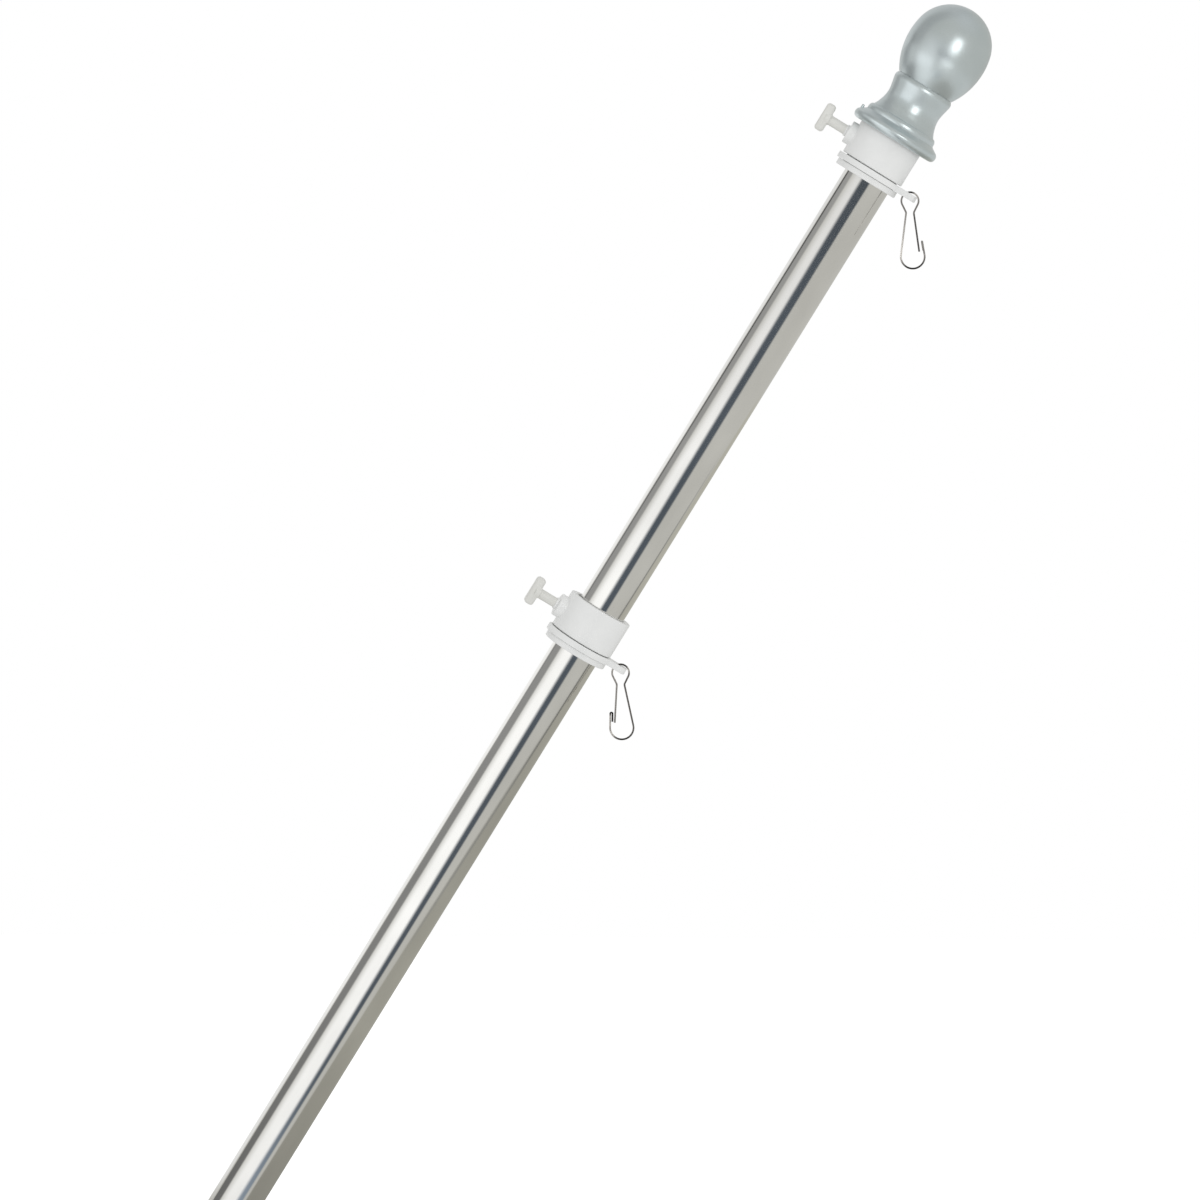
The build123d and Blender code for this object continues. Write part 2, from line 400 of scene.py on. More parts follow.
def makeWireMaterial():
    # The wire's own attribute carries the painted highlights and painted shade of each stretch, which a noise
    # varies a little at random
    material, tree, shader = newMaterial("nickelWire")
    coordinates = tree.nodes.new("ShaderNodeTexCoord")
    clouds = noiseOf(tree, coordinates.outputs["Object"], wireFinish["cloudScale"])
    grain = noiseOf(tree, coordinates.outputs["Object"], wireFinish["grainScale"], wireFinish["grainDetail"])
    paintedShading = tree.nodes.new("ShaderNodeAttribute")
    paintedShading.attribute_name = "paintedShading"
    shadingAndWear = tree.nodes.new("ShaderNodeVectorMath")
    shadingAndWear.operation = "SCALE"
    tree.links.new(paintedShading.outputs["Color"], shadingAndWear.inputs["Vector"])
    tree.links.new(remap(tree, clouds, wireFinish["wornLow"], wireFinish["wornHigh"]), shadingAndWear.inputs["Scale"])
    tree.links.new(shadingAndWear.outputs["Vector"], shader.inputs["Base Color"])
    roughnessFrom(tree, shader, clouds, wireFinish)
    bumpFrom(tree, shader, grain, wireFinish["grainDepth"], wireFinish["grainStrength"])
    shader.inputs["Metallic"].default_value = 1
    return material


tubeMetal = makeTubeMaterial()
silverPaint = makePaintMaterial()
plastics = {name: makePlasticMaterial(name, finish) for name, finish in plasticFinishes.items()}
nickelWire = makeWireMaterial()
print("materials made")

# Flag rings
collar = {
    "hubRadius": 17.5 * mm,
    "hubHeight": 19.7 * mm,
    "bore": 13.75 * mm,
    "sleeveRadius": 15 * mm,
    "edgeRound": 0.5 * mm,
    "bossRadius": 6.1 * mm,
    "bossRoot": 14.5 * mm,
    "bossReach": 20.7 * mm,
    "bossRound": 0.5 * mm,
    "stepRadius": 3.15 * mm,
    "stepRoot": 14.6 * mm,
    "stepReach": 22.1 * mm,
    "stepRound": 0.3 * mm,
    "screwHole": 2.65 * mm,
    "holeStart": 5 * mm,
    "holeEnd": 30 * mm,
    "segments": 128,
}
ring = {
    "radius": 18.85 * mm,
    "bore": 15.1 * mm,
    "thickness": 3.2 * mm,
    "gapAbove": 0.45 * mm,
    "gapBelow": 0.15 * mm,
    "edgeRound": 0.4 * mm,
    "lowerRound": 0.15 * mm,
    "tabInner": 16.2 * mm,
    "tabReach": 28 * mm,
    "tabWidth": 10 * mm,
    "tabCorner": 3 * mm,
    "holeReach": 22.2 * mm,
    "holeRadius": 2.35 * mm,
    "holeOver": 1 * mm,           # the cutter runs this far past both faces
    "holeSegments": 48,
}
retainer = {
    "radius": 17.5 * mm,
    "bore": 15.02 * mm,
    "thickness": 3.2 * mm,
    "edgeRound": 0.5 * mm,
}
screw = {
    "radius": 2.6 * mm,
    "tip": 12.8 * mm,             # from the pole's axis
    "tipRound": 0.3 * mm,
    "handleOuter": 36.8 * mm,     # from the collar's axis, as the reaches above
    "handleBar": 5 * mm,
    "handleLength": 15.3 * mm,
    "handleDepth": 6 * mm,
    "cornerRound": 1.7 * mm,
    "edgeRound": 1.6 * mm,
    "fillet": 1 * mm,
}
clip = {      # the first five are radii; the drops are from the eye's centre
    "wire": 0.47 * mm,
    "eye": 4.4 * mm,
    "bow": 6.1 * mm,
    "fold": 0.6 * mm,
    "waistBend": 2 * mm,
    "waistHalf": 1.95 * mm,
    "waistDrop": 6 * mm,
    "bowDrop": 28.55 * mm,
    "gateDrop": 26 * mm,
    "hookDrop": 21.3 * mm,
    "foldLength": 4.2 * mm,
    "sharpAngle": 50,
}
roundingSteps = {      # how finely each kind of round is divided
    "edge": 4,
    "corner": 8,
    "fillet": 6,
    "rod": 64,
    "wire": 4,
}
clipSteps = {"fold": 4, "foldTurn": 10, "hook": 6, "bow": 48, "plain": 16, "waist": 8, "eye": 56, "gate": 14}


def rod(corners):
    # Round bar square to the pole on the screw's side; corners are (radius, reach, rounding)
    bm = turned(softened(corners), roundingSteps["rod"], closed=False)
    bm.transform(Matrix.Rotation(-math.pi / 2, 4, "Y"))
    bmesh.ops.translate(bm, verts=bm.verts, vec=(0, 0, collar["hubHeight"] / 2))
    return bm


def plainRod(radius, start, end, rounding=0.0):
    return rod(((0, start, 0), (radius, start, 0), (radius, end, rounding), (0, end, 0)))


# Heights in a flag ring are from the foot of its hub
ringTop = -ring["gapAbove"]
ringFoot = ringTop - ring["thickness"]
retainerTop = ringFoot - ring["gapBelow"]
retainerFoot = retainerTop - retainer["thickness"]


def makeCollar(end, place):
    edge = collar["edgeRound"]
    body = asObject(turned(softened((
        (collar["bore"], retainerFoot, 0),
        (collar["sleeveRadius"], retainerFoot, 0),
        (collar["sleeveRadius"], 0, 0),
        (collar["hubRadius"], 0, edge),
        (collar["hubRadius"], collar["hubHeight"], edge),
        (collar["bore"], collar["hubHeight"], edge),
    )), collar["segments"]), end + "Collar")
    boss = plainRod(collar["bossRadius"], collar["bossRoot"], collar["bossReach"], collar["bossRound"])
    combine(body, asObject(boss, "boss"), "UNION")
    step = plainRod(collar["stepRadius"], collar["stepRoot"], collar["stepReach"], collar["stepRound"])
    combine(body, asObject(step, "step"), "UNION")
    hole = plainRod(collar["screwHole"], collar["holeStart"], collar["holeEnd"])
    combine(body, asObject(hole, "hole"), "DIFFERENCE")
    body.data.transform(place)
    finishPiece(body, plastics["whitePlastic"], end + "_collar_body", end + "_collar")


def tabBlock():
    # Tab: a block with its outer corners rounded, then its other edges softened
    inner, reach = ring["tabInner"], ring["tabReach"]
    bm = block(reach - inner, ring["tabWidth"], ring["thickness"])
    bmesh.ops.translate(bm, vec=((reach + inner) / 2, 0, (ringTop + ringFoot) / 2), verts=bm.verts)

    def outer(edge):
        return edge.verts[0].co.x > inner + noLength

    corners = [edge for edge in bm.edges if spanOf(edge).z > noLength and outer(edge)]
    roundEdges(bm, corners, ring["tabCorner"], roundingSteps["corner"])
    flat = [edge for edge in bm.edges if spanOf(edge).z < noLength]
    rims = [edge for edge in flat if spanOf(edge).y < noLength or outer(edge)]
    roundEdges(bm, rims, ring["edgeRound"], roundingSteps["edge"])
    return bm


def makeSpinRing(end, place):
    edge = ring["edgeRound"]
    body = asObject(turned(softened((
        (ring["bore"], ringFoot, ring["lowerRound"]),
        (ring["radius"], ringFoot, ring["lowerRound"]),
        (ring["radius"], ringTop, edge),
        (ring["bore"], ringTop, edge),
    )), collar["segments"]), end + "SpinRing")
    combine(body, asObject(tabBlock(), "tab"), "UNION")
    hole = turned(softened((
        (0, ringFoot - ring["holeOver"], 0),
        (ring["holeRadius"], ringFoot - ring["holeOver"], 0),
        (ring["holeRadius"], ringTop + ring["holeOver"], 0),
        (0, ringTop + ring["holeOver"], 0),
    )), ring["holeSegments"], closed=False)
    bmesh.ops.translate(hole, vec=(ring["holeReach"], 0, 0), verts=hole.verts)
    combine(body, asObject(hole, "tabHole"), "DIFFERENCE")
    body.data.transform(place)
    finishPiece(body, plastics["whitePlastic"], end + "_ring_body", end + "_spin_ring")


def makeRetainer(end, place):
    bm = turned(softened((
        (retainer["bore"], retainerFoot, 0),
        (retainer["radius"], retainerFoot, retainer["edgeRound"]),
        (retainer["radius"], retainerTop, ring["lowerRound"]),
        (retainer["bore"], retainerTop, 0),
    )), collar["segments"])
    bm.transform(place)
    finishPiece(asObject(bm, end + "Retainer"), plastics["whitePlastic"],
                end + "_collar_body", end + "_retainer")


def makeThumbscrew(end, place, tip):
    handleMiddle = screw["handleOuter"] - screw["handleBar"] / 2
    handleInner = screw["handleOuter"] - screw["handleBar"]
    flareCentre = (screw["radius"] + screw["fillet"], handleInner - screw["fillet"])
    flare = arcPoints(flareCentre, screw["fillet"], 180, 90, roundingSteps["fillet"])
    corners = [(0, tip, 0), (screw["radius"], tip, screw["tipRound"])]
    corners += [(radius, reach, 0) for radius, reach in flare]
    corners += [(flareCentre[0], handleMiddle, 0), (0, handleMiddle, 0)]
    stem = asObject(rod(corners), end + "Thumbscrew")
    bar = block(screw["handleBar"], screw["handleDepth"], screw["handleLength"])
    across = [edge for edge in bar.edges if spanOf(edge).y > noLength]
    roundEdges(bar, across, screw["cornerRound"], roundingSteps["corner"])
    around = [edge for edge in bar.edges if spanOf(edge).y < noLength]
    roundEdges(bar, around, screw["edgeRound"], roundingSteps["edge"])
    bmesh.ops.translate(bar, vec=(-handleMiddle, 0, collar["hubHeight"] / 2), verts=bar.verts)
    combine(stem, asObject(bar, "bar"), "UNION")
    stem.data.transform(place)
    finishPiece(stem, plastics["screwPlastic"], end + "_screw_body", end + "_thumbscrew")


def touchPoint(point, centre, radius, side):
    # Where a straight run from the point touches a round
    arm = point - centre
    turn = side * math.acos(radius / arm.length)
    return centre + Matrix.Rotation(turn, 2) @ arm.normalized() * radius


def bend(before, corner, after, radius, steps):
    # Points of a round bend between two straight runs
    toBefore = (before - corner).normalized()
    toAfter = (after - corner).normalized()
    half = toBefore.angle(toAfter) / 2
    centre = corner + (toBefore + toAfter).normalized() * radius / math.sin(half)
    start = corner + toBefore * radius / math.tan(half) - centre
    end = corner + toAfter * radius / math.tan(half) - centre
    sweep = -start.angle_signed(end)
    return [centre + Matrix.Rotation(sweep * step / steps, 2) @ start for step in range(steps + 1)]


def arcBetween(start, end, centre, clockwise, steps):
    first = start - centre
    sweep = (math.atan2(*reversed(end - centre)) - math.atan2(*reversed(first))) % math.tau
    if clockwise:
        sweep -= math.tau
    return [centre + Matrix.Rotation(sweep * step / steps, 2) @ first for step in range(steps + 1)]


def straight(start, end, steps):
    # Points between two ends, without the ends themselves
    return [start.lerp(end, step / steps) for step in range(1, steps)]


def paintedShadingAlong(points, paintedShadings):
    # Each point with its share of a run's painted highlights and painted shade, which are spread evenly over
    # it
    result = []
    for index, point in enumerate(points):
        spot = index / max(len(points) - 1, 1) * (len(paintedShadings) - 1)
        low = min(int(spot), len(paintedShadings) - 2)
        result.append((point, paintedShadings[low] + (paintedShadings[low + 1] - paintedShadings[low]) * (spot - low)))
    return result


def clipRoute(eyeCentre, gateSide, bowDrift, hookHalf, gateHalf, foldTurn, paintedShadings):
    # The wire from the hook's fold round the bow and the eye to the gate, as points with their painted
    # highlights and painted shade
    eye = Vector((0, 0))
    bow = Vector((bowDrift, -clip["bowDrop"]))
    gateWaist = Vector((gateSide * clip["waistHalf"], -clip["waistDrop"]))
    plainWaist = Vector((-gateSide * clip["waistHalf"], -clip["waistDrop"]))
    gateEnd = Vector((bowDrift + gateSide * gateHalf, -clip["gateDrop"]))
    hookTop = Vector((bowDrift + gateSide * hookHalf, -clip["hookDrop"]))
    hookFoot = touchPoint(hookTop, bow, clip["bow"], -gateSide)
    bowEnd = touchPoint(plainWaist, bow, clip["bow"], gateSide)
    eyeStart = touchPoint(plainWaist, eye, clip["eye"], -gateSide)
    eyeEnd = touchPoint(gateWaist, eye, clip["eye"], gateSide)
    rise = (hookTop - hookFoot).normalized()
    inward = Matrix.Rotation(gateSide * math.pi / 2, 2) @ rise
    foldFoot = hookTop + inward * 2 * clip["fold"]
    foldEnd = foldFoot - rise * clip["foldLength"]
    foldCentre = hookTop + inward * clip["fold"]
    clockwise = gateSide > 0
    foldArc = arcBetween(foldFoot, hookTop, foldCentre, clockwise, clipSteps["foldTurn"])
    bowArc = arcBetween(hookFoot, bowEnd, bow, clockwise, clipSteps["bow"])
    plainBend = bend(bowEnd, plainWaist, eyeStart, clip["waistBend"], clipSteps["waist"])
    eyeArc = arcBetween(eyeStart, eyeEnd, eye, clockwise, clipSteps["eye"])
    gateBend = bend(eyeEnd, gateWaist, gateEnd, clip["waistBend"], clipSteps["waist"])
    gateRun = straight(gateBend[-1], gateEnd, clipSteps["gate"])
    route = paintedShadingAlong([foldEnd, *straight(foldEnd, foldFoot, clipSteps["fold"])], paintedShadings["fold"])
    route += paintedShadingAlong(foldArc, paintedShadings["fold"])
    foldCount = len(route)
    route += paintedShadingAlong(straight(hookTop, hookFoot, clipSteps["hook"]), paintedShadings["hook"])
    route += paintedShadingAlong(bowArc, paintedShadings["bow"])
    route += paintedShadingAlong(straight(bowEnd, plainBend[0], clipSteps["plain"]), paintedShadings["plain"])
    route += paintedShadingAlong(plainBend + eyeArc + gateBend[:-1], paintedShadings["eye"])
    route += paintedShadingAlong([gateBend[-1], *gateRun, gateEnd], paintedShadings["gate"])
    # The fold turns about the hook's own strand out of the clip's plane
    placed = []
    for index, (place, paintedShading) in enumerate(route):
        reach = (place - hookTop).dot(inward) if index < foldCount else 0
        flat = place - inward * reach * (1 - math.cos(foldTurn))
        placed.append((eyeCentre + Vector((flat.x, reach * math.sin(foldTurn), flat.y)), paintedShading))
    return placed


def makeClip(end, shape):
    route = clipRoute(Vector(joints[end + "_clip_swing"]["pos_m"]), **shape)
    line = bpy.data.curves.new(end + "ClipLine", "CURVE")
    line.dimensions = "3D"
    spline = line.splines.new("POLY")
    spline.points.add(len(route) - 1)
    for point, (place, paintedShading) in zip(spline.points, route):
        point.co = (*place, 1)
    line.bevel_depth = clip["wire"]
    line.bevel_resolution = roundingSteps["wire"]
    line.use_fill_caps = True
    wire = bpy.data.objects.new(end + "ClipCurve", line)
    bpy.context.scene.collection.objects.link(wire)
    mesh = plainMesh(wire)
    bpy.data.objects.remove(wire)
    # Each point of the wire takes the painted highlight or painted shade of its nearest route point
    paintedShadingLayer = mesh.attributes.new("paintedShading", "FLOAT_COLOR", "POINT")
    for vertex, value in zip(mesh.vertices, paintedShadingLayer.data):
        place, paintedShading = min(route, key=lambda point: (point[0] - vertex.co).length_squared)
        value.color = (*(Vector(wireFinish["tint"]) * paintedShading), 1)
    piece = bpy.data.objects.new(end + "Clip", mesh)
    bpy.context.scene.collection.objects.link(piece)
    finishPiece(piece, nickelWire, end + "_clip_body", end + "_clip", clip["sharpAngle"])


# How each clip is bent and hangs: the side of its gate, the bow's drift, half widths at the hook and
# the gate's end, the fold's turn out of the clip's plane, and the painted highlights and painted shade along
# each run of wire
clipShapes = {
    "upper": {
        "gateSide": 1, "bowDrift": 1.5 * mm, "hookHalf": 4.9 * mm, "gateHalf": 3.3 * mm,
        "foldTurn": math.radians(80),
        "paintedShadings": {
            "fold": (0.30, 0.30),
            "hook": (0.34, 0.22),
            "bow": (0.30, 0.20, 0.06, 0.045, 0.05, 0.3, 0.9),
            "plain": (0.95, 0.8, 0.6, 0.5, 0.42),
            "eye": (0.36, 0.3, 0.26, 0.4, 0.2, 0.03, 0.03, 0.8, 0.55, 0.3, 0.3, 0.26),
            "gate": (0.15, 0.14, 0.12, 0.1, 0.12),
        },
    },
    "lower": {
        "gateSide": -1, "bowDrift": 0.6 * mm, "hookHalf": 5.95 * mm, "gateHalf": 3.65 * mm,
        "foldTurn": math.radians(15),
        "paintedShadings": {
            "fold": (0.03, 0.03),
            "hook": (0.62, 0.7),
            "bow": (0.5, 0.6, 0.12, 0.05, 0.09, 0.16, 0.2),
            "plain": (0.16, 0.18, 0.19, 0.18),
            "eye": (0.14, 0.16, 0.2, 0.7, 0.08, 0.08, 0.2, 0.35, 0.6, 0.5, 0.3, 0.28),
            "gate": (0.4, 0.42, 0.36, 0.3),
        },
    },
}
spinToHub = ring["gapAbove"] + ring["thickness"] / 2      # from a ring's middle up to the foot of its hub


def makeFlagRing(end):
    spin = Vector(joints[end + "_ring_spin"]["pos_m"])
    hubFoot = spin + alongPole * spinToHub
    screwOut = Vector(joints[end + "_screw_turn"]["axis"])
    tabOut = Vector(joints[end + "_clip_swing"]["pos_m"]) - spin
    collarPlace = frameAt(hubFoot, -screwOut)
    drawnOver = (hubFoot - buttPoint).dot(screwOut)      # the tightened screw draws the collar to its side
    makeCollar(end, collarPlace)
    makeSpinRing(end, frameAt(hubFoot, tabOut))
    makeRetainer(end, collarPlace)
    makeThumbscrew(end, collarPlace, screw["tip"] - drawnOver)
    makeClip(end, clipShapes[end])
    print(end, "flag ring made")


# Finial
finial = {
    "height": 77.19 * mm,
    "recessRadius": 19.2 * mm,
    "recessDepth": 1.9 * mm,
    "lipRadius": 21 * mm,
    "lipRise": 0.3 * mm,
    "collarTuck": 1.4 * mm,       # how far the upper collar's head goes up into the recess
    "socketRadius": 12.75 * mm,
    "socketDepth": 28.1 * mm,
    "deckTop": 31.1 * mm,
    "seamHeight": 31.7 * mm,
    "seamRadius": 15.65 * mm,
    "seamDrop": 0.2 * mm,
    "neckWall": 1.2 * mm,
    "skirtPlay": 0.1 * mm,
    "spigotRadius": 4 * mm,
    "spigotPlay": 0.05 * mm,
    "spigotLength": 8 * mm,
    "crownRadius": 21.38 * mm,
    "crownEnd": 13,               # degrees above the crown's centre where the fuller side begins
    "ballSteps": 44,
    "segments": 192,
    "sharpAngle": 28,
}
# The base's outline from its top to its foot: (radius, height) in mm, with the steps between points
baseOutline = {
    "rimBead": (6, ((15.65, 31.5), (16.3, 30.3), (16.45, 29.4), (16.4, 28.6), (16.2, 27.6))),
    "neck": (6, ((16.2, 27.6), (15.3, 23.4), (14.95, 20.4), (15.3, 17.2), (16.0, 14.8), (16.65, 13.0),
                 (17.7, 11.0))),
    "bead": (4, ((17.7, 10.95), (18.4, 10.75), (19.0, 10.2), (19.4, 9.4), (19.55, 8.6), (19.6, 7.95),
                 (19.55, 7.4))),
    "shoulder": (4, ((19.55, 7.4), (20.1, 6.85), (20.95, 6.3), (21.9, 5.7))),
    "flange": (4, ((21.9, 5.7), (23.0, 5.0), (23.65, 4.3), (23.96, 3.5), (24.03, 2.8), (23.9, 1.8),
                   (23.4, 0.85), (22.4, 0.2), (21.0, 0.0))),
}
pip = {      # moulding pip left on the flange's shoulder, on the thumbscrew side
    "radius": 0.85 * mm,
    "taper": 0.8,
    "reach": 21.9 * mm,
    "foot": 4 * mm,
    "top": 7.5 * mm,
    "round": 0.4 * mm,
    "segments": 24,
}
upperHubFoot = heightOf(joints["upper_ring_spin"]["pos_m"]) + spinToHub
finialFoot = upperHubFoot + collar["hubHeight"] - finial["collarTuck"]


def makePip():
    bm = turned(softened((
        (0, pip["foot"], 0),
        (pip["radius"], pip["foot"], 0),
        (pip["radius"] * pip["taper"], pip["top"], pip["round"]),
        (0, pip["top"], 0),
    )), pip["segments"], closed=False)
    bmesh.ops.translate(bm, verts=bm.verts, vec=(-pip["reach"], 0, finialFoot))
    return bm


def makeFinialBase():
    neckBore = finial["seamRadius"] - finial["neckWall"]
    spigotBore = finial["spigotRadius"] + finial["spigotPlay"]
    profile = [
        (finial["lipRadius"], 0),
        (finial["recessRadius"], finial["lipRise"]),
        (finial["recessRadius"], finial["recessDepth"]),
        (finial["socketRadius"], finial["recessDepth"]),
        (finial["socketRadius"], finial["socketDepth"]),
        (spigotBore, finial["socketDepth"]),
        (spigotBore, finial["deckTop"]),
        (neckBore, finial["deckTop"]),
        (neckBore, finial["seamHeight"] - finial["seamDrop"]),
    ]
    for steps, points in baseOutline.values():
        profile += smoothThrough(points, steps)
    pairs = zip(profile[-1:] + profile, profile)
    profile = [point for before, point in pairs if (Vector(point) - Vector(before)).length > noLength]
    placed = [(radius, finialFoot + height) for radius, height in profile]
    base = asObject(turned(placed, finial["segments"]), "finialBase")
    combine(base, asObject(makePip(), "pip"), "UNION")
    base.data.transform(poleFrame)
    finishPiece(base, silverPaint, "pole", "finial_base", finial["sharpAngle"])


def ballProfile():
    # Round crown, then the fuller side: an arc that leaves it smoothly and draws in to the seam
    size = finial["crownRadius"]
    centre = finial["height"] - size
    crownEnd = finial["crownEnd"]
    turn = math.radians(crownEnd)
    inward = Vector((-math.cos(turn), -math.sin(turn)))
    join = Vector((0, centre)) - inward * size
    seam = Vector((finial["seamRadius"], finial["seamHeight"]))
    chord = seam - join
    sideRadius = chord.length_squared / (2 * chord.dot(inward))
    sideCentre = join + inward * sideRadius
    last = seam - sideCentre
    sideEnd = math.degrees(math.atan2(last.y, last.x))
    crown = arcPoints((0, centre), size, 90, crownEnd, finial["ballSteps"])
    side = arcPoints(sideCentre, sideRadius, crownEnd, sideEnd, finial["ballSteps"])
    return crown + side[1:]


def makeFinialBall():
    skirt = finial["seamRadius"] - finial["neckWall"] - finial["skirtPlay"]
    spigotFoot = finial["deckTop"] - finial["spigotLength"]
    profile = ballProfile() + [
        (skirt, finial["seamHeight"]),
        (skirt, finial["deckTop"]),
        (finial["spigotRadius"], finial["deckTop"]),
        (finial["spigotRadius"], spigotFoot),
        (0, spigotFoot),
    ]
    placed = [(radius, finialFoot + height) for radius, height in profile]
    bm = turned(placed, finial["segments"], closed=False)
    bm.transform(poleFrame)
    finishPiece(asObject(bm, "finialBall"), silverPaint, "pole", "finial_ball",
                finial["sharpAngle"])


# Pole
pole = {
    "radius": 12.7 * mm,
    "wall": 0.8 * mm,
    "neckPlay": 0.05 * mm,
    "neckLength": 45 * mm,
    "neckTaper": 6 * mm,          # length inside over which the lower tube draws in
    "rimRound": 0.25 * mm,
    "topGap": 0.5 * mm,           # from the tube's end to the bottom of the finial's socket
    "capRound": 0.8 * mm,
    "capRimRound": 0.1 * mm,
    "plugLength": 14 * mm,
    "plugRound": 0.5 * mm,
    "segments": 128,
}
tubeBore = pole["radius"] - pole["wall"]
neckRadius = tubeBore - pole["neckPlay"]
neckBore = neckRadius - pole["wall"]
capTop = footOf("lower_tube", pole["radius"])
jointHeight = footOf("upper_tube", pole["radius"])
neckTop = jointHeight + pole["neckLength"]
tubeTop = finialFoot + finial["socketDepth"] - pole["topGap"]
plugTop = capTop + pole["plugLength"]


def makePolePiece(name, corners, material, node, closed=True):
    bm = turned(softened(corners), pole["segments"], closed)
    bm.transform(poleFrame)
    finishPiece(asObject(bm, name), material, "pole", node)


def makePole():
    rim = pole["rimRound"]
    makePolePiece("lowerTube", (
        (tubeBore, capTop, 0),
        (pole["radius"], capTop, rim),
        (pole["radius"], jointHeight, rim),
        (neckRadius, jointHeight, 0),
        (neckRadius, neckTop, rim),
        (neckBore, neckTop, 0),
        (neckBore, jointHeight, 0),
        (tubeBore, jointHeight - pole["neckTaper"], 0),
    ), tubeMetal, "lower_tube")
    makePolePiece("upperTube", (
        (tubeBore, jointHeight, 0),
        (pole["radius"], jointHeight, rim),
        (pole["radius"], tubeTop, rim),
        (tubeBore, tubeTop, 0),
    ), tubeMetal, "upper_tube")
    makePolePiece("buttCap", (
        (0, 0, 0),
        (pole["radius"], 0, pole["capRound"]),
        (pole["radius"], capTop, pole["capRimRound"]),
        (neckRadius, capTop, 0),
        (neckRadius, plugTop, pole["plugRound"]),
        (0, plugTop, 0),
    ), plastics["blackPlastic"], "butt_cap", closed=False)


makePole()
print("pole made")
makeFinialBase()
makeFinialBall()
print("finial made")
for end in clipShapes:
    makeFlagRing(end)

# Camera
camera = {
    "distance": 2.9,
    "footAbove": 0.25 * mm,       # the camera stands square to the pole at the upper ring
    "aimDrop": 263 * mm,          # and aims this far down the pole
    "aimOver": -3.36 * mm,
    "lens": 168.8,
    "sensorWidth": 36,
    "roll": -0.0014,
    "reach": 60,
}


def makeCamera():
    data = bpy.data.cameras.new("camera")
    data.lens = camera["lens"]
    data.sensor_width = camera["sensorWidth"]
    data.clip_end = camera["reach"]
    viewer = bpy.data.objects.new("camera", data)
    bpy.context.scene.collection.objects.link(viewer)
    level = upperHubFoot + camera["footAbove"]
    viewer.location = buttPoint + alongPole * level + Vector((0, -camera["distance"], 0))
    aim = buttPoint + alongPole * (level - camera["aimDrop"]) + underPole * camera["aimOver"]
    look = (aim - viewer.location).to_track_quat("-Z", "Y").to_matrix().to_4x4()
    viewer.matrix_world = Matrix.Translation(viewer.location) @ look @ Matrix.Rotation(camera["roll"], 4, "Z")
    bpy.context.scene.camera = viewer


makeCamera()

# Light and the reflected studio
studio = {
    "worldLight": 0.78,
    "backdrop": 1,
    "radius": 1.2,
    "above": 1.5,
    "below": 1.7,
    "greyAbove": 0.64,            # middle of the shell's upper lid
    "greyBelow": 0.75,
    "base": (0.565, 0.56, 0.525),
    "columns": 360,
    "rows": 160,
    "lidSegments": 240,
}
# Strips of the studio that the metal mirrors. Each row is (metres down from the upper ring,
# left edge, right edge, brightness), edges in degrees round the pole from the camera
strips = {
    "leftRim": {
        "colour": (1, 1, 0.99), "softLeft": 8, "softRight": 3,
        "rows": (
            (-1.5, -186, -122, 0.5), (0, -186, -122, 0.8), (0.25, -186, -122, 0.98),
            (0.55, -186, -121, 1.0), (0.72, -186, -119, 0.95), (0.9, -186, -118, 0.85),
        ),
    },
    "window": {
        "colour": (1, 1, 0.99), "softLeft": 52, "softRight": 3,
        "rows": (
            (-0.3, -92, 12, 0.6), (-0.05, -92, 12, 0.8), (0.1, -92, 12, 0.92),
            (0.33, -92, 14, 1.12), (0.5, -90, 18, 1.2), (0.72, -88, 19, 1.1),
            (0.9, -88, 19, 1.0), (1.2, -88, 5, 1.2), (1.7, -86, 0, 1.0),
        ),
    },
    "leftShade": {
        "colour": (1, 1, 0.98), "softLeft": 4, "softRight": 10,
        "rows": (
            (-1.5, -122, -70, 0.4), (0, -121, -74, 0.36), (0.33, -121, -72, 0.35),
            (0.43, -120, -67, 0.32), (0.5, -119, -66, 0.3), (0.72, -116, -66, 0.24),
            (0.9, -112, -66, 0.16), (1.7, -110, -70, 0.2),
        ),
    },
    "leftLine": {
        "colour": (1, 1, 1), "softLeft": 4, "softRight": 4,
        "rows": (
            (-0.1, -121, -106, 0.09), (0.15, -121, -106, 0.12), (0.33, -119, -106, 0.2),
            (0.5, -118, -108, 0.3),
        ),
    },
    "wedge": {
        "colour": (0.82, 0.98, 1.18), "softLeft": 18, "softRight": 9,
        "rows": (
            (-0.08, -36, 22, 0.07), (0.02, -34, 22, 0.08), (0.1, -28, 22, 0.11),
            (0.33, -17, 27, 0.11), (0.5, -13, 29, 0.11), (0.72, -6, 30, 0.11),
            (0.79, -2, 30, 0.13), (0.86, -6, 30, 0.28), (1.0, -12, 30, 0.55),
        ),
    },
    "rightShade": {
        "colour": (1, 0.98, 0.86), "softLeft": 6, "softRight": 4,
        "rows": (
            (0.2, 122, 186, 0.5), (0.33, 102, 186, 0.5), (0.43, 88, 186, 0.44),
            (0.5, 74, 186, 0.38), (0.57, 60, 186, 0.36), (0.65, 50, 186, 0.38),
            (0.72, 44, 186, 0.4), (0.79, 40, 186, 0.34), (0.9, 34, 186, 0.28),
            (1.7, 28, 186, 0.3),
        ),
    },
    "rightLine": {
        "colour": (1, 1, 0.95), "softLeft": 4, "softRight": 6,
        "rows": (
            (0.24, 104, 116, 0.45), (0.33, 100, 113, 0.24), (0.43, 87, 100, 0.11),
            (0.5, 78, 92, 0.22), (0.57, 66, 80, 0.26), (0.65, 52, 66, 0.32),
        ),
    },
}
glint = {      # bright round spot of the studio near the camera, the finial's sharp highlight
    "angle": 16,
    "place": -0.43,
    "radius": 0.38,
    "soft": 0.3,
    "brightness": 4.6,
    "colour": (1, 1, 0.99),
}
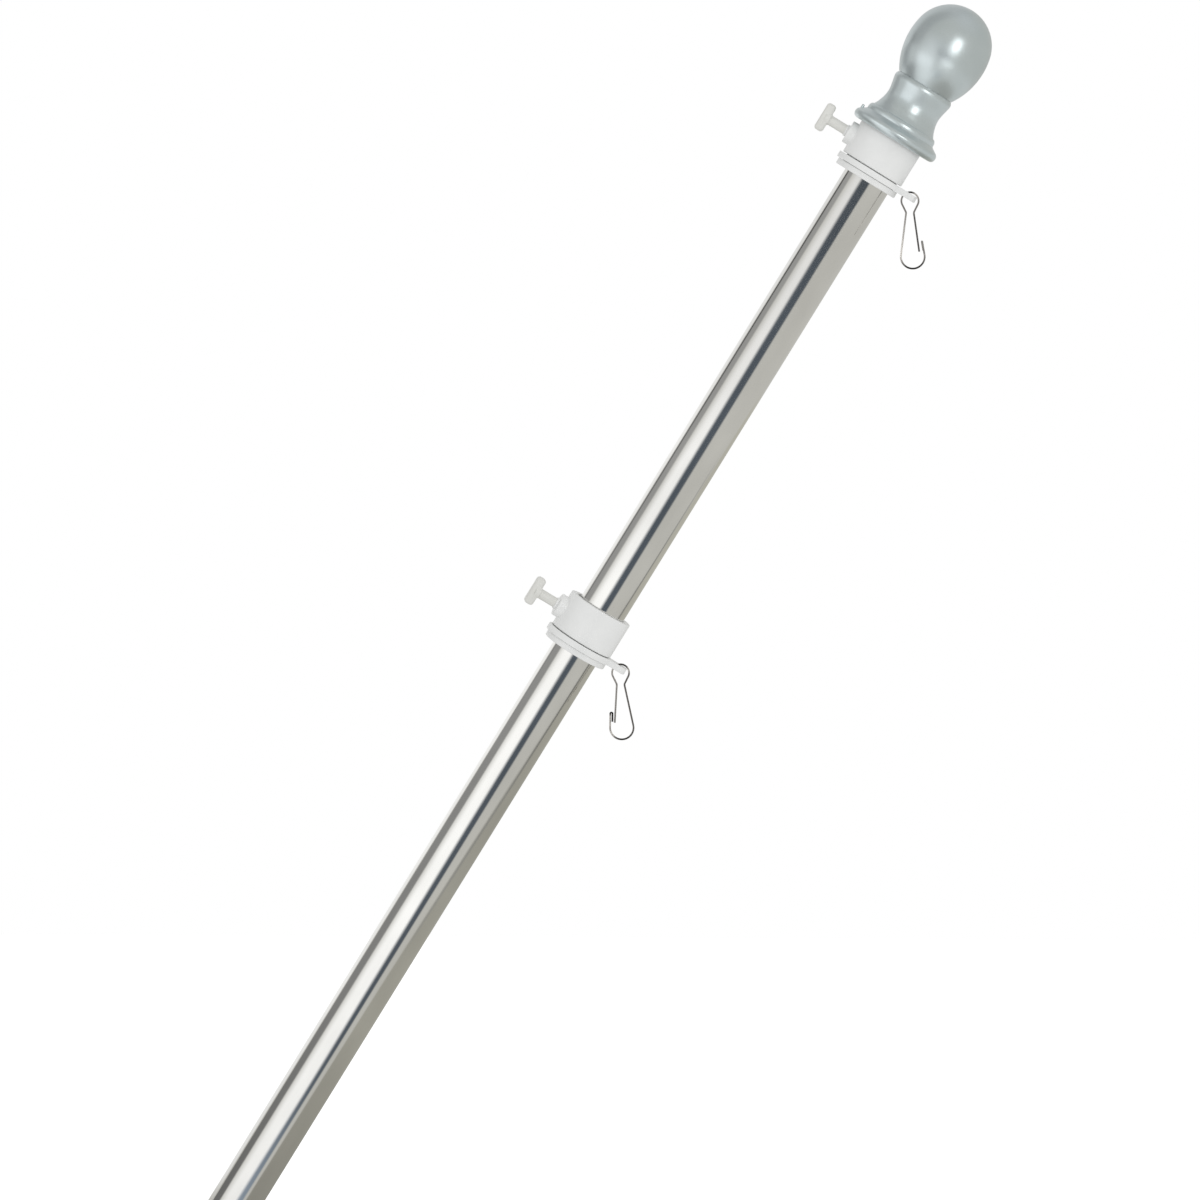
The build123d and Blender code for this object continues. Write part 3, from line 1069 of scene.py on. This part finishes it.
finialBand = {      # small shell close round the finial, seen only in its reflections
    "radius": 0.1,
    "top": -50 * mm,              # down from the upper ring, as in the strips
    "foot": -4 * mm,
    "base": (0.69, 0.69, 0.67),
    "window": (-72, -8, 1.35),    # left edge, right edge, brightness
    "windowTop": (-30 * mm, -50 * mm),         # the window fades out between these
    "shade": (-130, -92, 0.3),
    "soft": 16,
    "columns": 240,
    "rows": 60,
}
finialGlow = {      # soft spot on the band, mirrored just under the ball's highlight
    "angle": 16,
    "place": -45 * mm,
    "halfWidth": 24,
    "halfHeight": 11 * mm,
    "soft": 0.6,
    "brightness": 2.2,
    "colour": (1, 1, 0.99),
}


def smoothStep(value, width):
    value = min(max(value / width, 0), 1)
    return value * value * (3 - 2 * value)


def brightnessAt(angle, place):
    colour = Vector(studio["base"])
    for strip in strips.values():
        rows = strip["rows"]
        if not rows[0][0] <= place <= rows[-1][0]:
            continue
        upper, lower = next(pair for pair in zip(rows, rows[1:]) if place <= pair[1][0])
        share = (place - upper[0]) / (lower[0] - upper[0])
        left, right, bright = (upper[i] + (lower[i] - upper[i]) * share for i in (1, 2, 3))
        weight = smoothStep(angle - left, strip["softLeft"]) * smoothStep(right - angle, strip["softRight"])
        colour = colour.lerp(Vector(strip["colour"]) * bright, weight)
    away = math.hypot(math.radians(angle - glint["angle"]) * studio["radius"], place - glint["place"])
    lit = smoothStep(glint["radius"] - away, glint["soft"])
    return colour.lerp(Vector(glint["colour"]) * glint["brightness"], lit)


def bandBrightness(angle, place):
    colour = Vector(finialBand["base"])
    fadeStart, fadeEnd = finialBand["windowTop"]
    fade = smoothStep(place - fadeEnd, fadeStart - fadeEnd)
    soft = finialBand["soft"]
    for (left, right, bright), share in ((finialBand["window"], fade), (finialBand["shade"], 1)):
        weight = smoothStep(angle - left, soft) * smoothStep(right - angle, soft)
        colour = colour.lerp(Vector((1, 1, 1)) * bright, weight * share)
    away = math.hypot((angle - finialGlow["angle"]) / finialGlow["halfWidth"],
                      (place - finialGlow["place"]) / finialGlow["halfHeight"])
    lit = smoothStep(1 - away, finialGlow["soft"])
    return colour.lerp(Vector(finialGlow["colour"]) * finialGlow["brightness"], lit)


def makeGlowMaterial():
    material = bpy.data.materials.new("studioGlow")
    material.use_nodes = True
    tree = material.node_tree
    tree.nodes.clear()
    attribute = tree.nodes.new("ShaderNodeAttribute")
    attribute.attribute_name = "brightness"
    glow = tree.nodes.new("ShaderNodeEmission")
    out = tree.nodes.new("ShaderNodeOutputMaterial")
    tree.links.new(attribute.outputs["Color"], glow.inputs["Color"])
    tree.links.new(glow.outputs["Emission"], out.inputs["Surface"])
    return material


def makeShell(name, shell, top, foot, colourAt, glow, lids=()):
    # A shell round the pole that only reflections see, coloured by angle and place
    radius = shell["radius"]
    bm = bmesh.new()
    bmesh.ops.create_grid(bm, x_segments=shell["columns"], y_segments=shell["rows"], size=0.5)
    tint = bm.verts.layers.float_color.new("brightness")
    for vertex in bm.verts:
        angle = vertex.co.x * 360
        place = top + (vertex.co.y + 0.5) * (foot - top)
        vertex[tint] = (*colourAt(angle, place), 1)
        turn = math.radians(angle)
        vertex.co = (radius * math.sin(turn), -radius * math.cos(turn), upperHubFoot - place)
    for place, grey in lids:
        # The strips run on over the rim of each lid and fade into its grey middle
        lid = bmesh.ops.create_circle(bm, cap_ends=True, cap_tris=True, segments=shell["lidSegments"],
                                      radius=radius, matrix=Matrix.Translation((0, 0, upperHubFoot - place)))
        for vertex in lid["verts"]:
            angle = math.degrees(math.atan2(vertex.co.x, -vertex.co.y))
            atRim = vertex.co.xy.length > radius / 2
            vertex[tint] = (*colourAt(angle, place), 1) if atRim else (grey, grey, grey, 1)
    bm.transform(poleFrame)
    mirrored = asObject(bm, name)
    mirrored.data.materials.append(glow)
    mirrored.visible_camera = False
    mirrored.visible_diffuse = False
    mirrored.visible_shadow = False
    mirrored.visible_transmission = False
    mirrored.visible_volume_scatter = False


def makeWorld():
    # White to the camera and in reflections, plain soft light on everything else
    world = bpy.data.worlds.new("studio")
    bpy.context.scene.world = world
    world.use_nodes = True
    tree = world.node_tree
    tree.nodes.clear()
    path = tree.nodes.new("ShaderNodeLightPath")
    seen = path.outputs["Is Camera Ray"]
    for ray in ("Is Glossy Ray", "Is Transmission Ray"):
        either = tree.nodes.new("ShaderNodeMath")
        either.operation = "MAXIMUM"
        tree.links.new(seen, either.inputs[0])
        tree.links.new(path.outputs[ray], either.inputs[1])
        seen = either.outputs["Value"]
    mix = tree.nodes.new("ShaderNodeMixShader")
    tree.links.new(seen, mix.inputs["Fac"])
    for socket, strength in ((1, studio["worldLight"]), (2, studio["backdrop"])):
        background = tree.nodes.new("ShaderNodeBackground")
        background.inputs["Color"].default_value = (1, 1, 1, 1)
        background.inputs["Strength"].default_value = strength
        tree.links.new(background.outputs["Background"], mix.inputs[socket])
    out = tree.nodes.new("ShaderNodeOutputWorld")
    tree.links.new(mix.outputs["Shader"], out.inputs["Surface"])


floor = {
    "size": 12,
    "gap": 0.2 * mm,
    "colour": (0.85, 0.85, 0.85),
    "roughness": 0.9,
    "specular": 0.1,
    "lift": 0.45,                 # glow added for the camera alone, so that the lit floor reads white
}


def makeFloor():
    # White to the camera, with the object's soft shadow kept on it
    bm = bmesh.new()
    bmesh.ops.create_grid(bm, x_segments=1, y_segments=1, size=floor["size"] / 2)
    lowest = cadBox[0][2] - floor["gap"]
    bmesh.ops.translate(bm, vec=((cadBox[0][0] + cadBox[1][0]) / 2, 0, lowest), verts=bm.verts)
    sheet = asObject(bm, "floor")
    material, tree, shader = newMaterial("paleFloor")
    path = tree.nodes.new("ShaderNodeLightPath")
    shader.inputs["Base Color"].default_value = (*floor["colour"], 1)
    shader.inputs["Roughness"].default_value = floor["roughness"]
    shader.inputs["Specular IOR Level"].default_value = floor["specular"]
    shader.inputs["Emission Color"].default_value = (1, 1, 1, 1)
    lift = tree.nodes.new("ShaderNodeMath")
    lift.operation = "MULTIPLY"
    lift.inputs[1].default_value = floor["lift"]
    tree.links.new(path.outputs["Is Camera Ray"], lift.inputs[0])
    tree.links.new(lift.outputs["Value"], shader.inputs["Emission Strength"])
    sheet.data.materials.append(material)
    sheet.visible_diffuse = False
    sheet.visible_glossy = False
    sheet.visible_shadow = False


keyLamp = {
    "power": 9,
    "size": 0.45,
    "under": 0.675,               # metres from the ball's centre: out of the pole's underside,
    "up": 0.48,                   # up the pole
    "front": 2.36,                # and towards the camera
}


def makeKeyLamp():
    ballCentre = buttPoint + alongPole * (finialFoot + finial["height"] - finial["crownRadius"])
    offset = underPole * keyLamp["under"] + alongPole * keyLamp["up"] + Vector((0, -keyLamp["front"], 0))
    data = bpy.data.lights.new("keyLamp", "AREA")
    data.shape = "DISK"
    data.size = keyLamp["size"]
    data.energy = keyLamp["power"]
    lamp = bpy.data.objects.new("keyLamp", data)
    bpy.context.scene.collection.objects.link(lamp)
    turn = (-offset).to_track_quat("-Z", "Y").to_matrix().to_4x4()
    lamp.matrix_world = Matrix.Translation(ballCentre + offset) @ turn
    lamp.visible_camera = False
    lamp.visible_glossy = False


studioGlow = makeGlowMaterial()
studioLids = ((-studio["above"], studio["greyAbove"]), (studio["below"], studio["greyBelow"]))
makeShell("studioShell", studio, -studio["above"], studio["below"], brightnessAt, studioGlow, studioLids)
makeShell("finialBand", finialBand, finialBand["top"], finialBand["foot"], bandBrightness, studioGlow)
makeWorld()
makeFloor()
makeKeyLamp()
bpy.context.scene.view_settings.view_transform = "Standard"
print("stage made")
